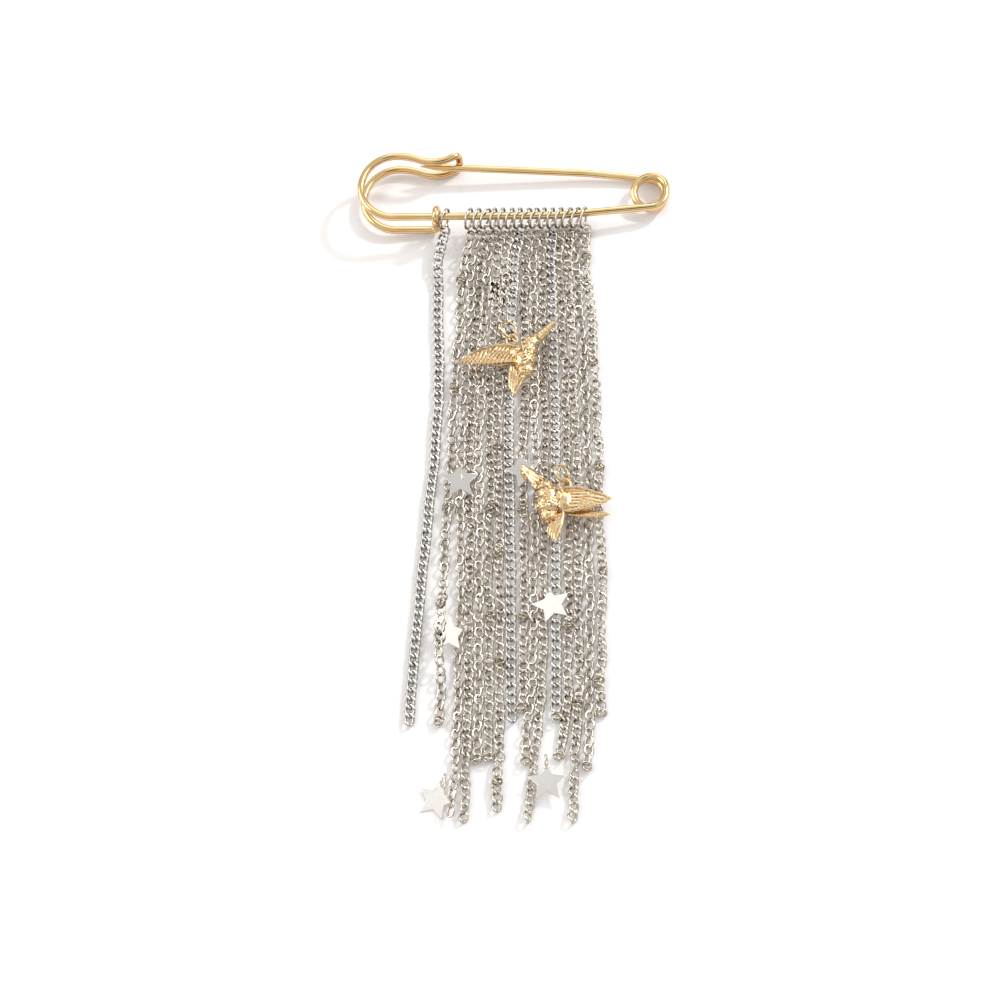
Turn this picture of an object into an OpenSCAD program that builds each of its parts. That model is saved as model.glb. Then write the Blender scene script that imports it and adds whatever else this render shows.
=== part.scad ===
// Safety-pin brooch with a fringe of fine chains, two cast hummingbirds and seven flat stars.
// The brooch lies on its back on a flat surface, the pin at +Y and the chain ends at -Y.

/* [Pin] */
// Diameter of the pin's bent wire
wire_d = 1.8; // [1.6:0.1:2]
// Diameter of the needle
needle_d = 1.7; // [1.4:0.1:1.8]
// From the middle of the piece to the start of the head's round curve
head_x = 28.1; // [26:0.5:30]
// Height of the head's round curve, between wire centres
head_height = 16.5; // [15.5:0.5:18]
// From the head's front wire to its rear wire
head_depth = 6.6; // [6:0.2:8]
// From the middle of the piece to the collar that closes the head
collar_x = 18; // [17:0.5:19]
// From the middle of the piece to the bend in the bar
bar_bend_x = 11.5; // [9:0.5:13]
// Slope of the bar beyond its bend, in degrees
bar_slope = 5.2; // [4:0.2:6]
// Slope of the needle where it leaves the coil, in degrees
needle_slope = 7.4; // [7:0.2:8]
// From the middle of the piece to the bend in the needle
needle_bend_x = 18; // [15:0.5:20]
// Slope of the needle beyond its bend, in degrees
needle_end_slope = 3.5; // [3:0.1:4]
// From the middle of the piece to the needle's point
needle_point_x = 22.8; // [21:0.2:24]
// Length of the needle's ground point
point_length = 4; // [3:0.5:6]

/* [Coil] */
// From the middle of the piece to the middle of the coil
coil_x = 32.6; // [31:0.2:34]
// Radius of the coil's round ends, to the wire's centre
coil_r = 3.4; // [3.2:0.1:4]
// Straight stretch at each side of the coil
coil_side = 2.2; // [1:0.2:3]
// Depth that the wire gains in one turn of the coil
coil_pitch = 3; // [2.8:0.1:3.4]

/* [Rings on the bar] */
// Radius of a bar ring, to the wire's centre
ring_r = 2.42; // [2.2:0.02:2.8]
// Wire of a bar ring
ring_wire = 0.56; // [0.4:0.02:0.7]
// Turn of each bar ring against the bar, in degrees
ring_turn = 20; // [10:1:25]
// From one ring of the fringe to the next
ring_step = 1.95; // [1.9:0.05:2.1]

/* [Chains] */
// Thickness of a fine chain
chain_d = 1.5; // [1.2:0.1:1.6]
// Wire of the curb chain at the left
curb_wire = 0.6; // [0.4:0.05:0.6]
// Width of a curb link over its wire
curb_width = 2.6; // [2.4:0.1:3]
// From one curb link to the next
curb_pitch = 2.3; // [2.2:0.05:2.6]
// Clear length that two joined curb links can slide on each other
curb_play = 0.2; // [0.16:0.02:0.4]
// Twist of a curb link from its middle to each end, in degrees
curb_twist = 50; // [45:1:55]
// Radius of the round ring at a chain's end, to the wire's centre
end_ring_r = 1.1; // [1:0.05:1.3]
// Wire of the small end rings
end_ring_wire = 0.5; // [0.4:0.05:0.6]
// Length of a station bead along its chain
station_length = 1.3; // [1:0.1:1.6]
// Wall of a station bead
station_wall = 0.3; // [0.25:0.05:0.35]

/* [Stars] */
// Radius of a star to its tips
star_r = 4.6; // [4:0.1:4.8]
// Radius of a star to its inner corners
star_inner_r = 2.2; // [1.8:0.1:2.4]
// Thickness of a star's sheet
star_sheet = 0.35; // [0.3:0.05:0.4]
// Hole in the round eye at a star's upper tip
star_hole = 0.9; // [0.85:0.05:1]
// Radius of a star's jump ring, to the wire's centre
star_ring_r = 1.4; // [1.3:0.05:1.5]
// Wire of a star's jump ring
star_ring_wire = 0.4; // [0.35:0.05:0.4]

/* [Birds] */
// Thickness of a bird's breast
bird_breast = 5; // [4:0.2:5.4]
// Thickness of a bird's head
bird_head = 3.4; // [3:0.2:4]
// Thickness of a bird's beak where it leaves the head
bird_beak = 1.7; // [1.2:0.1:2]
// Thickness of a bird's wing
bird_wing_sheet = 0.9; // [0.7:0.1:1.1]
// Thickness of a bird's tail
bird_tail_sheet = 1; // [0.8:0.1:1.2]
// Radius of the cast loop on a bird's back, to its wire's centre
bird_loop_r = 1.15; // [1.05:0.05:1.3]
// Radius of a bird's jump ring, to the wire's centre
bird_ring_r = 2.2; // [1.9:0.1:2.4]
// Wire of a bird's jump ring and of its cast loop
bird_ring_wire = 0.5; // [0.45:0.05:0.55]

/* [Fit] */
// Clear space between pieces that touch or hang in each other
clearance = 0.1; // [0.08:0.01:0.15]

/* [Hidden] */
$fn = 32;
rings = [for (i = [0:15]) i];
stars = [for (i = [1:7]) i];
birds = [1, 2];

gold = "#E0A84E";
silver = "#B8B2A8";
brass = "#B89A78";

// Pin frame: u runs along the bar, v from the bar to the needle, w up from the bar's axis
pin_x = 0.4;
bar_y = 66.3;
bend_r = 30;
joint_gap = 0.04;
joint_swell = 0.04;
tip_r = 0.15;
coil_turn_drop = coil_pitch / 2;
coil_v = coil_side / 2 + coil_r * cos(bar_slope)
    + (coil_x + coil_r * sin(bar_slope) - bar_bend_x) * tan(bar_slope);
dip_angle = 22;
dip_r = 14.5;
rise_r = 9;
rise_angle = 28;
lip_length = 0.8;
hairpin_r = 1.2;
tail_r = 1.6;
collar_r = 0.95 * wire_d;
collar_wire = 0.96 * wire_d;
collar_tail = 0.6 * wire_d;
dip_end = [-head_x + dip_r * sin(dip_angle), head_height - dip_r * (1 - cos(dip_angle))];
rise_centre = dip_end + rise_r * [sin(dip_angle), cos(dip_angle)];
rise_end = rise_centre + rise_r * [sin(rise_angle), -cos(rise_angle)];
lip_end = rise_end + lip_length * [cos(rise_angle), sin(rise_angle)];
hairpin_u = lip_end[0] + hairpin_r * cos(rise_angle);

// The pin rests on the rear of its hairpin and on the rear of its coil
pin_tilt = atan((head_depth - coil_pitch) / (coil_x + coil_r - hairpin_u));
bar_z = (wire_d + joint_swell) / 2 + head_depth * cos(pin_tilt) + hairpin_u * sin(pin_tilt);
function bar_height(x) = bar_z - (x - pin_x) * tan(pin_tilt);

// Bar rings: number 0 hangs by itself beside the collar, 1 to 15 carry the fringe
ring_0_x = -15.6;
ring_1_x = -9.9;
ring_hang = ring_r - ring_wire / 2 - wire_d / 2 - clearance;
hook_angle = 60;
function ring_x(i) = i == 0 ? ring_0_x : ring_1_x + (i - 1) * ring_step;
function hook(i, r) = [ring_x(i) + r * cos(hook_angle) * sin(ring_turn),
    bar_y - r * cos(hook_angle) * cos(ring_turn),
    bar_height(ring_x(i)) - ring_hang - r * sin(hook_angle)];

// Chain routes: X of each chain at these distances along Y, then X and Y of its end
route_y = [57, 47, 35, 21, 7, -13, -33, -51];
route_x = [
    [-16.9, -16.8, -16.4, -16.2, -16.7, -17.9, -19, -19.8],
    [-11.3, -11.8, -12.5, -12.8, -13, -13.2, -13.2, -12.8],
    [-9.3, -9.6, -10.2, -10.3, -10.3, -9.8, -9.3, -9.1],
    [-7.3, -7.7, -8.3, -8.4, -8.3, -7.6, -7, -6.7],
    [-5.3, -5.7, -6.2, -6.3, -6.1, -5.3, -4.7, -4.4],
    [-3.3, -3.5, -4, -4.1, -3.9, -3, -2.5, -2],
    [-1.1, -1.4, -1.9, -1.9, -1.6, -0.7, 0, 0.5],
    [1.1, 0.9, 0.5, 0.5, 0.8, 1.8, 2.5, 3],
    [3.3, 3.3, 3.7, 4.1, 4.4, 5, 5.5, 5.8],
    [5.3, 5.6, 6.1, 6.7, 7.1, 7.4, 7.7, 7.8],
    [7.3, 7.7, 8.3, 9, 9.4, 9.7, 9.9, 10],
    [9.3, 9.9, 10.6, 11.3, 11.8, 12.3, 12.8, 13.3],
    [11.4, 12, 12.9, 13.6, 14.3, 15.2, 15.7, 16],
    [13.5, 14.2, 15.1, 15.9, 16.7, 17.5, 18, 18.4],
    [15.5, 16.3, 17.5, 18.4, 19.2, 20, 20.6, 20.8],
    [17.6, 18.6, 20, 21.1, 21.9, 22.6, 23.2, 23.4]];
route_end = [
    [-20, -60.5], [-13, -58], [-9.1, -81.6], [-6.7, -83.7], [-4.3, -68], [-1.5, -66.8],
    [0.7, -81], [3.5, -60.8], [5.33, -55.7], [6.6, -66.6], [7.6, -82.5], [13.4, -58], [14.8, -66.6],
    [17.6, -84], [20.8, -69.2], [23.4, -57.4]];
chain_land = 16;
chain_stretch = 3 * chain_d;
curb_land_height = curb_width / 2;

// Where chains pass over a star: chain, Y of the hump, its height beyond the star's sheet
humps = [[1, -37.5, 2.4], [2, -77.5, 0.6], [4, 52, 1.2], [5, 52, 1.2], [6, 52, 1.6], [7, 52, 1.2]];
hump_length = 9;

// Chains that end in a round ring
end_ring_chains = [1, 4, 5, 8, 9, 11, 12, 14, 15];

// Station beads: chain, Y. A chain with stations lies as high as the beads' walls hold it
stations = [[1, 51.6], [1, 24], [1, -6.5], [1, -31.4], [5, -6.9], [5, -33.3], [6, 35.4], [6, 8.4],
    [6, -18.7], [6, -45.4], [6, -72.5], [8, -7.4], [8, -33.8], [12, -36], [13, -55],
    [15, 56.2], [15, 29.4], [15, 2.6], [15, -23.6], [15, -50]];
station_lift = station_wall + clearance;
function carries_stations(i) = len([for (s = stations) if (s[0] == i) s]) > 0;
function rest_height(i) = chain_d / 2 + (carries_stations(i) ? station_lift : 0);
chains_top = chain_d + station_lift;

// Stars: X, Y, height of what they lie on, turn of the upper tip
star_place = [
    [-10.2, -0.1, chains_top, 4],
    [4.7, 1.9, chains_top, 20],
    [12, -31.5, chains_top, 17],
    [-11.4, -38, chains_top, -72],
    [-13, -76.8, 0, -20],
    [12, -73.7, chains_top, 2],
    [-2.6, 49, 0, -30]];
star_lean = 5;
star_lift = star_r * cos(36) * sin(star_lean) + star_sheet / 2 + clearance / 2;
eye_wall = 0.33;
eye_rim = 0.06;
eye_inset = 1.1;
eye_y = star_r - eye_inset;
star_ring_dip = 0.6;
small_ring_r = 1.1;
small_ring_star = 7;

// Birds, each as points of X and Y: head, breast, tail root, shoulder, end of the beak, cast loop
bird_points = [
    [[6.3, 33.6], [4.5, 29.5], [2.6, 26.2], [2.8, 32.8], [11, 39], [1.3, 34.4]],
    [[10.5, -3.5], [11.3, -7.5], [12.3, -11.6], [13.5, -4.8], [4.1, 2.5], [14.7, -2.9]]];
near_wing = [
    [[4.4, 31.5], [2.3, 32.8], [-2.9, 33.6], [-6.9, 32.6], [-10, 30.4], [-11.1, 29.2], [-6.2, 28.4],
        [-0.2, 27.8], [3.9, 28]],
    [[11.4, -5.2], [14.3, -4.2], [17.4, -4.1], [20.5, -4.7], [23.4, -5.8], [25.5, -7], [20.5, -8.6],
        [15.2, -9.5], [11.8, -9.2]]];
far_wing = [
    [[4, 31], [-4.6, 31.8], [-9.4, 29.6], [-4.6, 28.9], [3.4, 28.6]],
    [[11.4, -7], [19.1, -7.6], [22.6, -8.2], [25.8, -10.4], [22.4, -10.1], [19.1, -9.4], [12.4, -10.3]]];
bird_tail = [
    [[4, 27.6], [1, 27.2], [0.4, 25.6], [0.7, 22.6], [1.7, 20.4], [2.8, 22], [3.5, 24.5], [4.4, 26.6]],
    [[10.8, -10], [10.6, -11.6], [10.8, -13.9], [12, -16.4], [13, -15.9], [14, -13.7], [14.2, -11.5],
        [13.6, -10]]];
near_wing_rise = 0.3;
far_wing_drop = 1.4;
bird_slim_end = 0.4 * bird_breast;
bird_back = 0.7 * bird_breast;
bird_z = chains_top + clearance + bird_breast / 2;
bird_ring_turn = 50;
bird_ring_way = 105;

function eased(t) = t * t * (3 - 2 * t);
function limited(t) = min(max(t, 0), 1);

// Basic shapes
module ring(radius, wire) {
    rotate_extrude($fn = 48) translate([radius, 0]) circle(d = wire);
}

// A stretch of bent wire, a hair short of both ends, where a ball joins it to the next stretch
module bent(radius, from, to, ball_from = true, ball_to = true) {
    trim = 180 / PI * joint_gap / radius;
    rotate([0, 0, from + trim])
        rotate_extrude(angle = to - from - 2 * trim, $fn = 64) translate([radius, 0]) circle(d = wire_d);
    if (ball_from) rotate([0, 0, from]) translate([radius, 0, 0]) sphere(d = wire_d + joint_swell);
    if (ball_to) rotate([0, 0, to]) translate([radius, 0, 0]) sphere(d = wire_d + joint_swell);
}

module rod(from, to) {
    run = to - from;
    translate(from)
        rotate([0, acos(run[2] / norm(run)), atan2(run[1], run[0])])
            translate([0, 0, joint_gap]) cylinder(d = wire_d, h = norm(run) - 2 * joint_gap);
}

module on_pin() {
    translate([pin_x, bar_y, bar_z]) rotate([0, pin_tilt, 0]) children();
}

// One wire of the head, from the bar round to the lip at its tip
module head_strand() {
    translate([-head_x, head_height / 2]) bent(head_height / 2, 90, 270);
    translate([-head_x, head_height - dip_r]) bent(dip_r, 90 - dip_angle, 90, true, false);
    translate(rise_centre) bent(rise_r, 270 - dip_angle, 270 + rise_angle, false, true);
    rod([rise_end[0], rise_end[1], 0], [lip_end[0], lip_end[1], 0]);
}

// The turn at the lip that joins the front wire to the rear one
module hairpin() {
    cross = head_depth - 2 * hairpin_r;
    translate([lip_end[0], lip_end[1], 0]) rotate([0, 0, rise_angle]) rotate([90, 0, 0]) {
        translate([0, -hairpin_r, 0]) bent(hairpin_r, 0, 90);
        translate([0, -hairpin_r - cross, 0]) bent(hairpin_r, -90, 0);
        rod([hairpin_r, -hairpin_r, 0], [hairpin_r, -hairpin_r - cross, 0]);
    }
}

// The rear wire's end, which turns up and is wound round the bar
module collar() {
    tail_u = -collar_x - tail_r;
    rod([-head_x, 0, -head_depth], [tail_u, 0, -head_depth]);
    translate([tail_u, 0, tail_r - head_depth]) rotate([90, 0, 0]) bent(tail_r, -90, 0);
    rod([-collar_x, 0, tail_r - head_depth], [-collar_x, 0, -collar_tail]);
    translate([-collar_x, 0, 0]) rotate([0, 90, 0]) ring(collar_r, collar_wire);
}

module coil_place(side, depth) {
    translate([coil_x, coil_v + side * coil_side / 2, -depth]) children();
}

// A half turn of the coil, which loses half the coil's pitch on its way
module half_turn(side, depth, ball_from = true) {
    reach = sqrt(coil_r * coil_r + coil_turn_drop * coil_turn_drop / 4);
    coil_place(side, depth) rotate([0, -side * asin(coil_turn_drop / 2 / reach), 0])
        bent(reach, side > 0 ? 0 : 180, side > 0 ? 180 : 360, ball_from);
}

module pin_frame() {
    bend_reach = bend_r * tan(bar_slope / 2);
    bend_u = bar_bend_x - bend_reach;
    bend_out = [bar_bend_x + bend_reach * cos(bar_slope), bend_reach * sin(bar_slope), 0];
    coil_in = [coil_x + coil_r * sin(bar_slope), coil_v - coil_side / 2 - coil_r * cos(bar_slope), 0];
    side_low = coil_v - coil_side / 2;
    side_top = coil_v + coil_side / 2;
    color(gold) on_pin() {
        rod([-head_x, 0, 0], [bend_u, 0, 0]);
        translate([bend_u, bend_r, 0]) bent(bend_r, -90, -90 + bar_slope);
        rod(bend_out, coil_in);
        coil_place(-1, 0) bent(coil_r, -90 + bar_slope, 0);
        rod([coil_x + coil_r, side_low, 0], [coil_x + coil_r, side_top, 0]);
        half_turn(1, coil_turn_drop / 2);
        rod([coil_x - coil_r, side_low + clearance, -coil_turn_drop],
            [coil_x - coil_r, side_top, -coil_turn_drop]);
        head_strand();
        translate([0, 0, -head_depth]) head_strand();
        hairpin();
        collar();
    }
}

module pin_arm() {
    needle_out = [coil_x + coil_r * sin(needle_slope),
        coil_v + coil_side / 2 + coil_r * cos(needle_slope), -coil_pitch];
    bend = [needle_bend_x, needle_out[1] + (needle_out[0] - needle_bend_x) * tan(needle_slope), -coil_pitch];
    bend_reach = bend_r * tan((needle_slope - needle_end_slope) / 2);
    bend_in = bend + bend_reach * [cos(needle_slope), -sin(needle_slope), 0];
    bend_out = bend + bend_reach * [-cos(needle_end_slope), sin(needle_end_slope), 0];
    needle_length = (bend_out[0] + needle_point_x) / cos(needle_end_slope);
    color(gold) on_pin() {
        half_turn(-1, coil_turn_drop * 1.5, false);
        rod([coil_x + coil_r, coil_v - coil_side / 2, -coil_pitch],
            [coil_x + coil_r, coil_v + coil_side / 2, -coil_pitch]);
        coil_place(1, coil_pitch) bent(coil_r, 0, 90 - needle_slope);
        rod(needle_out, bend_in);
        translate(bend_in) rotate([0, 0, -needle_slope]) translate([0, -bend_r, 0])
            bent(bend_r, 90, 90 + needle_slope - needle_end_slope);
        translate(bend_out) rotate([0, -90, -needle_end_slope]) rotate_extrude($fn = 48)
            polygon([[0, 0], [needle_d / 2, 0], [needle_d / 2, needle_length - point_length],
                [tip_r, needle_length], [0, needle_length]]);
    }
}

module bar_ring(i) {
    color(silver) translate([ring_x(i), bar_y, bar_height(ring_x(i)) - ring_hang])
        rotate([0, 0, -ring_turn]) rotate([0, 90, 0]) ring(ring_r, ring_wire);
}

// Routes, as functions of Y
route_start = ring_r + ring_wire / 2 + clearance;
function start(i) = hook(i, route_start) + [0, -chain_d / 4, -chain_d / 4];
function x_table(i) = concat([[start(i)[1], start(i)[0]]],
    [for (k = [0:len(route_y) - 1]) if (route_y[k] > route_end[i][1]) [route_y[k], route_x[i][k]]],
    [[route_end[i][1], route_end[i][0]]]);
function x_at(i, y) = lookup(y, x_table(i));
function rise_at(hump, y) = (star_sheet + hump[2]) * eased(limited(1.5 - abs(y - hump[1]) / hump_length));
function hump(i, y) = max(concat([0], [for (h = humps) if (h[0] == i) rise_at(h, y)]));
function z_at(i, y, rest) = rest + hump(i, y)
    + (start(i)[2] - rest) * eased(limited((y - start(i)[1] + chain_land) / chain_land));
function route(i, y, rest) = [x_at(i, y), y, z_at(i, y, rest)];

// A fine chain's outer form: a tube of straight stretches along its route
function route_length(i) = start(i)[1] - route_end[i][1];
function stretches(i) = ceil(route_length(i) / chain_stretch);
function corner(i, k) = route(i, start(i)[1] - route_length(i) * k / stretches(i), rest_height(i));

module chain_tube(i) {
    sides = 8;
    r = chain_d / 2;
    steps = stretches(i);
    points = [for (k = [0:steps]) for (s = [0:sides - 1])
        corner(i, k) + r * [cos(360 * (s + 0.5) / sides), 0, sin(360 * (s + 0.5) / sides)]];
    walls = [for (k = [0:steps - 1]) for (s = [0:sides - 1])
        let (a = k * sides + s, b = k * sides + (s + 1) % sides)
            each [[a, b, b + sides], [a, b + sides, a + sides]]];
    caps = [[for (s = [sides - 1:-1:0]) s], [for (s = [0:sides - 1]) steps * sides + s]];
    color(silver) polyhedron(points, concat(walls, caps));
}

// A curb link: an oval of wire, twisted about its length
curb_half_width = (curb_width - curb_wire) / 2;
curb_half_length = curb_pitch / 2 + (curb_wire + curb_play) / 2;
function curb_point(t) = let (turn = curb_twist * sin(t))
    [curb_half_width * cos(t) * cos(turn), curb_half_length * sin(t), curb_half_width * cos(t) * sin(turn)];
function unit(v) = v / norm(v);

module curb_link() {
    steps = 10;
    sides = 5;
    r = curb_wire / 2;
    points = [for (k = [0:steps - 1])
        let (t = 360 * k / steps,
            along = unit(curb_point(t + 1) - curb_point(t - 1)),
            out = unit(cross(along, unit(cross(curb_point(t), along)))),
            side = cross(along, out))
        for (s = [0:sides - 1])
            curb_point(t) + r * (cos(360 * s / sides) * out + sin(360 * s / sides) * side)];
    faces = [for (k = [0:steps - 1]) for (s = [0:sides - 1])
        let (here = k * sides, next = ((k + 1) % steps) * sides, t = (s + 1) % sides)
            each [[here + s, here + t, next + t], [here + s, next + t, next + s]]];
    polyhedron(points, faces);
}

// Places of the links along a route, one pitch apart
function links(i, y, rest) = y < route_end[i][1] + curb_half_length ? [] :
    let (step = route(i, y, rest) - route(i, y - 1, rest))
    concat([y], links(i, y - curb_pitch / norm(step), rest));

module curb_chain(i) {
    color(silver) for (y = links(i, start(i)[1], curb_land_height)) {
        back = unit(route(i, y + 0.5, curb_land_height) - route(i, y - 0.5, curb_land_height));
        translate(route(i, y, curb_land_height))
            rotate([0, 0, atan2(-back[0], back[1])])
                rotate([asin(back[2]), 0, 0]) curb_link();
    }
}

module chain(i) {
    if (i == 0) curb_chain(i);
    else chain_tube(i);
}

module end_rings() {
    color(silver) for (i = end_ring_chains)
        translate([route_end[i][0], route_end[i][1] - end_ring_r - end_ring_wire / 2 - clearance,
            end_ring_wire / 2])
            ring(end_ring_r, end_ring_wire);
}

// A short sleeve round a chain, clear of the bends of its tube
module station_bead(i, y) {
    bore = chain_d / 2 + clearance;
    share = (start(i)[1] - y) / route_length(i) * stretches(i);
    from = corner(i, floor(share));
    run = corner(i, floor(share) + 1) - from;
    inset = (station_length / 2 + clearance) / norm(run);
    translate(from + run * min(max(share - floor(share), inset), 1 - inset))
        rotate([0, acos(run[2] / norm(run)), atan2(run[1], run[0])]) difference() {
            cylinder(r = bore + station_wall, h = station_length, center = true);
            cylinder(r = bore, h = station_length * 2, center = true);
        }
}

module station_beads() {
    color(brass) for (s = stations) station_bead(s[0], s[1]);
}

module star_outline() {
    polygon([for (k = [0:9])
        (k == 0 ? eye_y : k % 2 == 0 ? star_r : star_inner_r) * [sin(36 * k), cos(36 * k)]]);
}

module on_star(i) {
    p = star_place[i - 1];
    translate([p[0], p[1], p[2] + star_lift]) rotate([star_lean, 0, p[3]]) children();
}

module star(i) {
    color(silver) on_star(i) difference() {
        union() {
            translate([0, 0, -star_sheet / 2]) linear_extrude(star_sheet) star_outline();
            translate([0, eye_y, 0])
                cylinder(r = star_hole / 2 + eye_wall, h = star_sheet + eye_rim, center = true);
        }
        translate([0, eye_y, 0]) cylinder(d = star_hole, h = star_sheet * 3, center = true);
    }
}

// A ring that stands in the star's eye and passes under its edge
module star_ring(i) {
    radius = i == small_ring_star ? small_ring_r : star_ring_r;
    rise = radius - star_ring_dip;
    color(silver) on_star(i) translate([0, eye_y + sqrt(radius * radius - rise * rise), rise])
        rotate([0, 90, 0]) ring(radius, star_ring_wire);
}

module bird_ball(point, d) {
    translate(point) sphere(d = d, $fn = 14);
}

// Body, head and shoulder of a bird, round its axis
module bird_body(points) {
    head = points[0];
    breast = points[1];
    beak = points[4] - head;
    hull() {
        bird_ball(head, bird_head);
        bird_ball(breast, bird_breast);
    }
    hull() {
        bird_ball(breast, bird_breast);
        bird_ball(points[2], bird_slim_end);
    }
    hull() {
        bird_ball(breast, bird_back);
        bird_ball(points[3], bird_slim_end);
    }
    translate(head) rotate([0, 90, atan2(beak[1], beak[0])])
        cylinder(d1 = bird_beak, d2 = tip_r * 2, h = norm(beak));
}

module bird(i) {
    points = bird_points[i - 1];
    color(gold) translate([0, 0, bird_z]) {
        bird_body(points);
        translate([0, 0, near_wing_rise]) linear_extrude(bird_wing_sheet) polygon(near_wing[i - 1]);
        translate([0, 0, -far_wing_drop]) linear_extrude(bird_wing_sheet) polygon(far_wing[i - 1]);
        translate([0, 0, -bird_tail_sheet / 2]) linear_extrude(bird_tail_sheet) polygon(bird_tail[i - 1]);
        translate(points[5]) ring(bird_loop_r, bird_ring_wire);
    }
}

// A ring that hangs in the bird's cast loop
module bird_ring(i) {
    loop = bird_points[i - 1][5];
    reach = bird_loop_r + bird_ring_r - bird_ring_wire - clearance;
    color(gold) translate([loop[0], loop[1], bird_z]) rotate([0, 0, bird_ring_way]) translate([reach, 0, 0])
        rotate([bird_ring_turn, 0, 0]) ring(bird_ring_r, bird_ring_wire);
}

pin_frame();
pin_arm();
station_beads();
end_rings();
for (i = rings) {
    bar_ring(i);
    chain(i);
}
for (i = birds) {
    bird(i);
    bird_ring(i);
}
for (i = stars) {
    star(i);
    star_ring(i);
}
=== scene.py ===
"""Safety-pin brooch with a fringe of fine chains, cast hummingbirds and flat stars.

Lengths in the tables are millimetres in the model's own frame: X along the pin's bar, Y towards the pin,
Z up from the surface that the brooch lies on. MM turns them into metres.
"""
import random
from collections import namedtuple
from math import atan, atan2, cos, pi, radians, sin, tan

import bmesh
import bpy
from mathutils import Matrix, Vector, noise


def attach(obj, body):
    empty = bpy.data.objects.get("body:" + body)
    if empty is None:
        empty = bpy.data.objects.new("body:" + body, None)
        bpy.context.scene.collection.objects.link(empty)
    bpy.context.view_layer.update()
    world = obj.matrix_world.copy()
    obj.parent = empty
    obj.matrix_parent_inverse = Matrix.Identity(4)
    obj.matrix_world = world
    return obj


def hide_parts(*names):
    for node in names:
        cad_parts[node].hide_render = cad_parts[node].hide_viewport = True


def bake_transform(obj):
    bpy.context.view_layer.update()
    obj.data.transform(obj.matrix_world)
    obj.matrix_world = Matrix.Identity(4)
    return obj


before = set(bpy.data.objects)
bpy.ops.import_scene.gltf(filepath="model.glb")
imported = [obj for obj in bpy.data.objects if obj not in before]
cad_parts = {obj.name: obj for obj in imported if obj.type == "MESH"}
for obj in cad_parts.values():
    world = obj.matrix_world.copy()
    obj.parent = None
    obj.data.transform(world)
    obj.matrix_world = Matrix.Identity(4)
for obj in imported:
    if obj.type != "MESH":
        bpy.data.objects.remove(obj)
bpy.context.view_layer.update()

MM = 0.001
BROOCH = "brooch"
ARM = "arm"
Y = Vector((0, 1, 0))
Z = Vector((0, 0, 1))


# The photograph's view: it stands at the chains' end, turned to the right, high above
ELEVATION = radians(65)
AZIMUTH = radians(21.3)
TURN = radians(1.8)
DISTANCE = 750
AIM = Vector((-1.1, -4.3, 0))
LENS = 117
SENSOR = 36
NEAREST = 0.01


def make_camera():
    """Places the camera and returns the direction from the brooch to it."""
    back = Vector((sin(AZIMUTH) * cos(ELEVATION), -cos(AZIMUTH) * cos(ELEVATION), sin(ELEVATION)))
    up = Vector((-sin(TURN), cos(TURN), 0))
    up = (up - up.dot(back) * back).normalized()
    data = bpy.data.cameras.new("photograph_view")
    data.lens = LENS
    data.sensor_width = SENSOR
    data.clip_start = NEAREST
    camera = bpy.data.objects.new("photograph_view", data)
    place = Matrix((up.cross(back), up, back)).transposed().to_4x4()
    place.translation = (AIM + DISTANCE * back) * MM
    camera.matrix_world = place
    bpy.context.scene.collection.objects.link(camera)
    bpy.context.scene.camera = camera
    return back


VIEW = make_camera()


# Materials
# Values of a noise pattern between which the tone and the polish of a plate change
CLOUD_SPREAD = (0.35, 0.65)
RUB_SPREAD = (0.3, 0.7)
RUB_DEPTH = 0.02


def linear(code):
    """An sRGB hex colour as linear red, green, blue and alpha."""
    parts = [int(code[i:i + 2], 16) / 255 for i in (1, 3, 5)]
    return [c / 12.92 if c <= 0.04045 else ((c + 0.055) / 1.055) ** 2.4 for c in parts] + [1.0]


def add(tree, kind, settings=None, links=None):
    """Adds a node; settings are its properties and inputs by name, links join its inputs to outputs."""
    node = tree.nodes.new(kind)
    for name, value in (settings or {}).items():
        if isinstance(name, int) or name in node.inputs:
            node.inputs[name].default_value = value
        else:
            setattr(node, name, value)
    for name, output in (links or {}).items():
        tree.links.new(output, node.inputs[name])
    return node


def clouded(tree, pattern, spread, tones):
    """A colour that goes from one tone to the other while a pattern's value crosses its spread."""
    share = add(tree, "ShaderNodeMapRange", {"From Min": spread[0], "From Max": spread[1]},
                {"Value": pattern})
    mix = add(tree, "ShaderNodeMix", {"data_type": "RGBA", 6: linear(tones[0]), 7: linear(tones[1])},
              {0: share.outputs["Result"]})
    return mix.outputs[2]


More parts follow.
